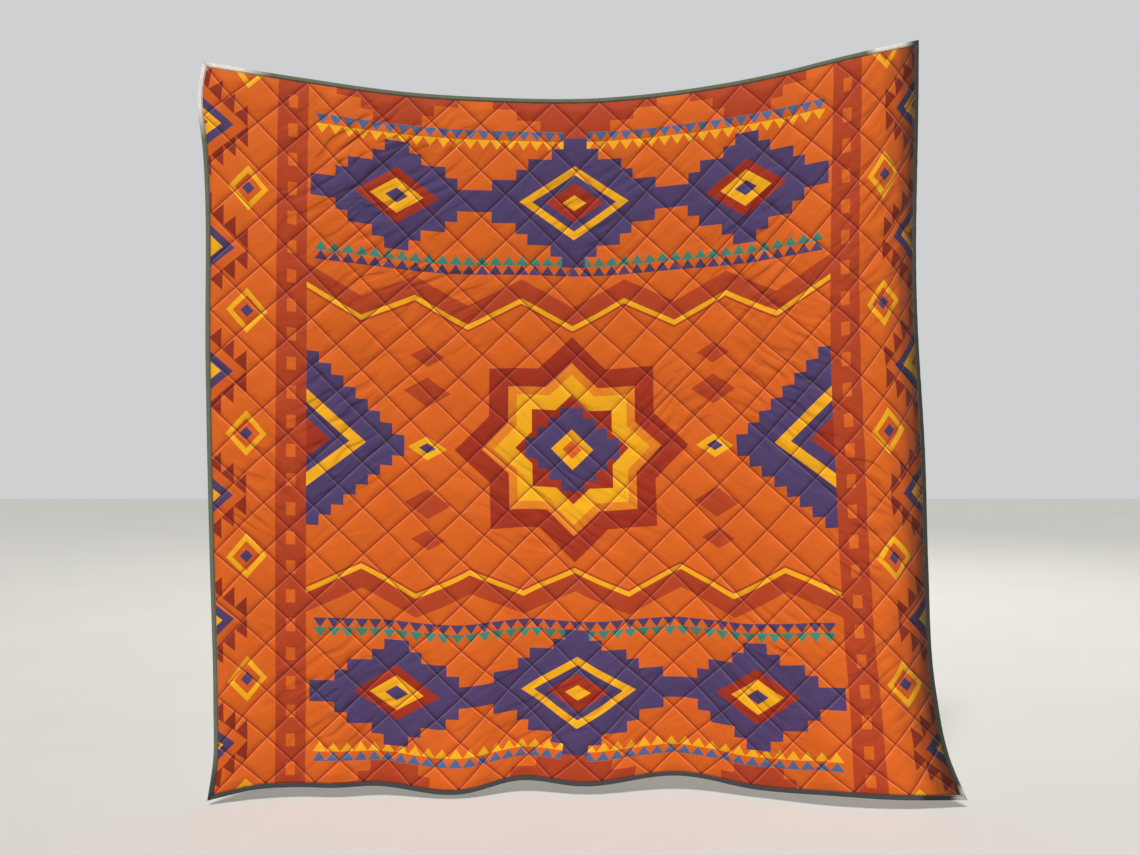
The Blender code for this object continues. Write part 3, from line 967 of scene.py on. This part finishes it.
def wovenTape():
    # polyester binding tape: matt ribs across its length, a row of stitches near the inner edge
    material, tree = newMaterial("wovenBindingTape")
    flat = addNode(tree, "ShaderNodeUVMap", uv_map="flatCloth").outputs[0]
    flatParts = addNode(tree, "ShaderNodeSeparateXYZ", [flat])
    along, inward = flatParts.outputs[0], flatParts.outputs[1]
    place = addNode(tree, "ShaderNodeTexCoord").outputs["Object"]
    placeParts = addNode(tree, "ShaderNodeSeparateXYZ", [place])
    sideways, height = placeParts.outputs[0], placeParts.outputs[2]
    lowest, highest = cadBox[0][2], cadBox[1][2]
    up = addNode(tree, "ShaderNodeMapRange", {"Value": height, "From Min": lowest, "From Max": highest})
    tones = addNode(tree, "ShaderNodeValToRGB", [up])
    hemColours = linear(palette["tapeDark"]), linear(palette["tape"])
    fillRamp(tones, list(zip(tapeLooks["darkHem"], hemColours)))
    layers = []
    for corner, reach, pale in tapeLooks["paleCorners"]:
        away = addNode(tree, "ShaderNodeVectorMath", [place, corner], operation="DISTANCE")
        away = away.outputs["Value"]
        start, full = (reach * share for share in tapeLooks["paleFade"])
        near = addNode(tree, "ShaderNodeMapRange", {"Value": away, "From Min": start, "From Max": full})
        layers.append((near, linear(palette[pale])))
    toned = paintLayers(tree, tones, layers)
    # painted shade: the tape is drawn darker along the right edge, where the cloth turns back
    lit = addNode(tree, "ShaderNodeValToRGB", [sideways])
    fillRamp(lit, tapeLooks["shadedSide"])
    toned = addNode(tree, "ShaderNodeVectorMath", [toned, lit], operation="MULTIPLY")

    halfRib = tapeLooks["ribPitch"] / 2
    ribs = addNode(tree, "ShaderNodeMath", [along, halfRib], operation="PINGPONG")
    ribHeight = addNode(tree, "ShaderNodeMath", [ribs, 1 / halfRib], operation="MULTIPLY")
    unevenToneAndPaintedShade = {"Vector": flat, "Scale": tapeLooks["wearScale"], "Detail": 3.0}
    unevenToneAndPaintedShade = addNode(tree, "ShaderNodeTexNoise", unevenToneAndPaintedShade)
    tone = [unevenToneAndPaintedShade, tapeLooks["wearSwing"], tapeLooks["wearLowest"]]
    tone = addNode(tree, "ShaderNodeMath", tone, operation="MULTIPLY_ADD")
    colour = addNode(tree, "ShaderNodeVectorMath", [toned, tone], operation="MULTIPLY")
    onLine = [inward, tapeLooks["stitchInward"], tapeLooks["stitchHalfWidth"]]
    onLine = addNode(tree, "ShaderNodeMath", onLine, operation="COMPARE")
    beat = addNode(tree, "ShaderNodeMath", [along, tapeLooks["stitchPitch"] / 2], operation="PINGPONG")
    sewn = addNode(tree, "ShaderNodeMath", [beat, tapeLooks["stitchLength"] / 2], operation="LESS_THAN")
    stitch = addNode(tree, "ShaderNodeMath", [onLine, sewn], operation="MULTIPLY")
    colour = paintLayers(tree, colour, [(stitch, linear(palette["tapeThread"]))])
    relief = addNode(tree, "ShaderNodeBump", {
        "Strength": tapeLooks["ribStrength"], "Distance": tapeLooks["ribDepth"], "Height": ribHeight,
    })
    shader = addNode(tree, "ShaderNodeBsdfPrincipled", {
        "Base Color": colour,
        "Roughness": tapeLooks["roughness"],
        "Specular IOR Level": tapeLooks["specular"],
        "Sheen Weight": tapeLooks["sheen"],
        "Normal": relief,
    })
    addNode(tree, "ShaderNodeOutputMaterial", [shader])
    return material


printedFace = printedMicrofibre()
backing = plainBacking()
tape = wovenTape()
print("materials:", [m.name for m in (printedFace, backing, tape)])

panel = quiltedPanel([printedFace, backing])
print("panel:", len(panel.data.polygons), "faces")
strips = [bindingStrip(edge, tape) for edge in ("top", "bottom", "left", "right")]
print("binding:", [s.name for s in strips])

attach(panel, "root")
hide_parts("quilted_panel")
for strip, edge in zip(strips, ("top", "bottom", "left", "right")):
    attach(strip, "root")
    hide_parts("binding_" + edge)

# Floor, lights and camera, in metres
stage = {
    "floorDrop": 0.012,      # how far the hem hangs above the floor
    "floorSize": 30.0,
    "floorTones": ("#CFCCC6", "#D6D3CD"),
    "floorClouds": 1.5,
    "floorRoughness": 0.9,
    "floorSpecular": 0.1,
    "lookedAt": (0.0, 0.0, -0.85),
    "lights": (  # name, kind, place, size or angle, power, whether it casts shadows
        ("keyLight", "SUN", (-0.9, -4.0, 4.6), 0.24, 2.55, True),
        ("fillLight", "AREA", (4.6, -6.2, 0.4), 3.0, 50, True),
        ("backLight", "AREA", (1.5, 5.5, 3.8), 3.0, 190, False),
    ),
    "airColour": (0.93, 0.94, 0.95, 1.0),
    "airStrength": 0.27,
    "wallColour": (0.62, 0.63, 0.64, 1.0),
    "cameraPlace": (-0.0153, -3.5306, -0.829),
    "sensorWidth": 36.0,     # millimetres
    "focalPixels": 1400.0,   # focal length in pixels of a picture that is this wide
    "pictureWidth": 1140,
}


def paleFloorPaint():
    # matt painted studio floor, faintly uneven
    material, tree = newMaterial("paleFloorPaint")
    place = addNode(tree, "ShaderNodeTexCoord").outputs["Object"]
    clouds = {"Vector": place, "Scale": stage["floorClouds"], "Detail": 4.0}
    clouds = addNode(tree, "ShaderNodeTexNoise", clouds)
    darker, lighter = (linear(tone) for tone in stage["floorTones"])
    tones = paintLayers(tree, darker, [(clouds, lighter)])
    shader = addNode(tree, "ShaderNodeBsdfPrincipled", {
        "Base Color": tones,
        "Roughness": stage["floorRoughness"],
        "Specular IOR Level": stage["floorSpecular"],
    })
    addNode(tree, "ShaderNodeOutputMaterial", [shader])
    return material


def softLight(name, kind, place, size, power, shadow):
    # a wide studio light that looks at the cloth
    data = bpy.data.lights.new(name, kind)
    data.energy = power
    data.use_shadow = shadow
    if kind == "SUN":
        data.angle = size
    else:
        data.shape = "DISK"
        data.size = size
    light = bpy.data.objects.new(name, data)
    bpy.context.scene.collection.objects.link(light)
    light.location = place
    towards = Vector(stage["lookedAt"]) - Vector(place)
    light.rotation_euler = towards.to_track_quat("-Z", "Y").to_euler()


def studioAir():
    # soft light from all round, and a pale wall behind that only the camera sees
    world = bpy.data.worlds.new("studioWorld")
    world.use_nodes = True
    tree = world.node_tree
    background = tree.nodes["Background"]
    background.inputs[0].default_value = stage["airColour"]
    background.inputs[1].default_value = stage["airStrength"]
    wall = addNode(tree, "ShaderNodeBackground", [stage["wallColour"], 1.0])
    seen = addNode(tree, "ShaderNodeLightPath").outputs["Is Camera Ray"]
    both = addNode(tree, "ShaderNodeMixShader", [seen, background, wall])
    tree.links.new(both.outputs[0], tree.nodes["World Output"].inputs[0])
    return world


bpy.ops.object.select_all(action="DESELECT")
floorHeight = cadBox[0][2] - stage["floorDrop"]
bpy.ops.mesh.primitive_plane_add(size=stage["floorSize"], location=(0, 0, floorHeight))
floor = bpy.context.object
floor.name = "floor"
bpy.ops.object.transform_apply(location=True, rotation=True, scale=True)
floor.data.materials.append(paleFloorPaint())

for light in stage["lights"]:
    softLight(*light)
bpy.context.scene.world = studioAir()
bpy.context.scene.view_settings.view_transform = "Standard"

camera = bpy.data.objects.new("camera", bpy.data.cameras.new("camera"))
bpy.context.scene.collection.objects.link(camera)
camera.location = stage["cameraPlace"]
camera.rotation_euler = (math.radians(90), 0, 0)
camera.data.sensor_width = stage["sensorWidth"]
camera.data.lens = stage["focalPixels"] / stage["pictureWidth"] * stage["sensorWidth"]
camera.data.dof.use_dof = False
bpy.context.scene.camera = camera
print("stage: floor,", len(stage["lights"]), "lights and camera")
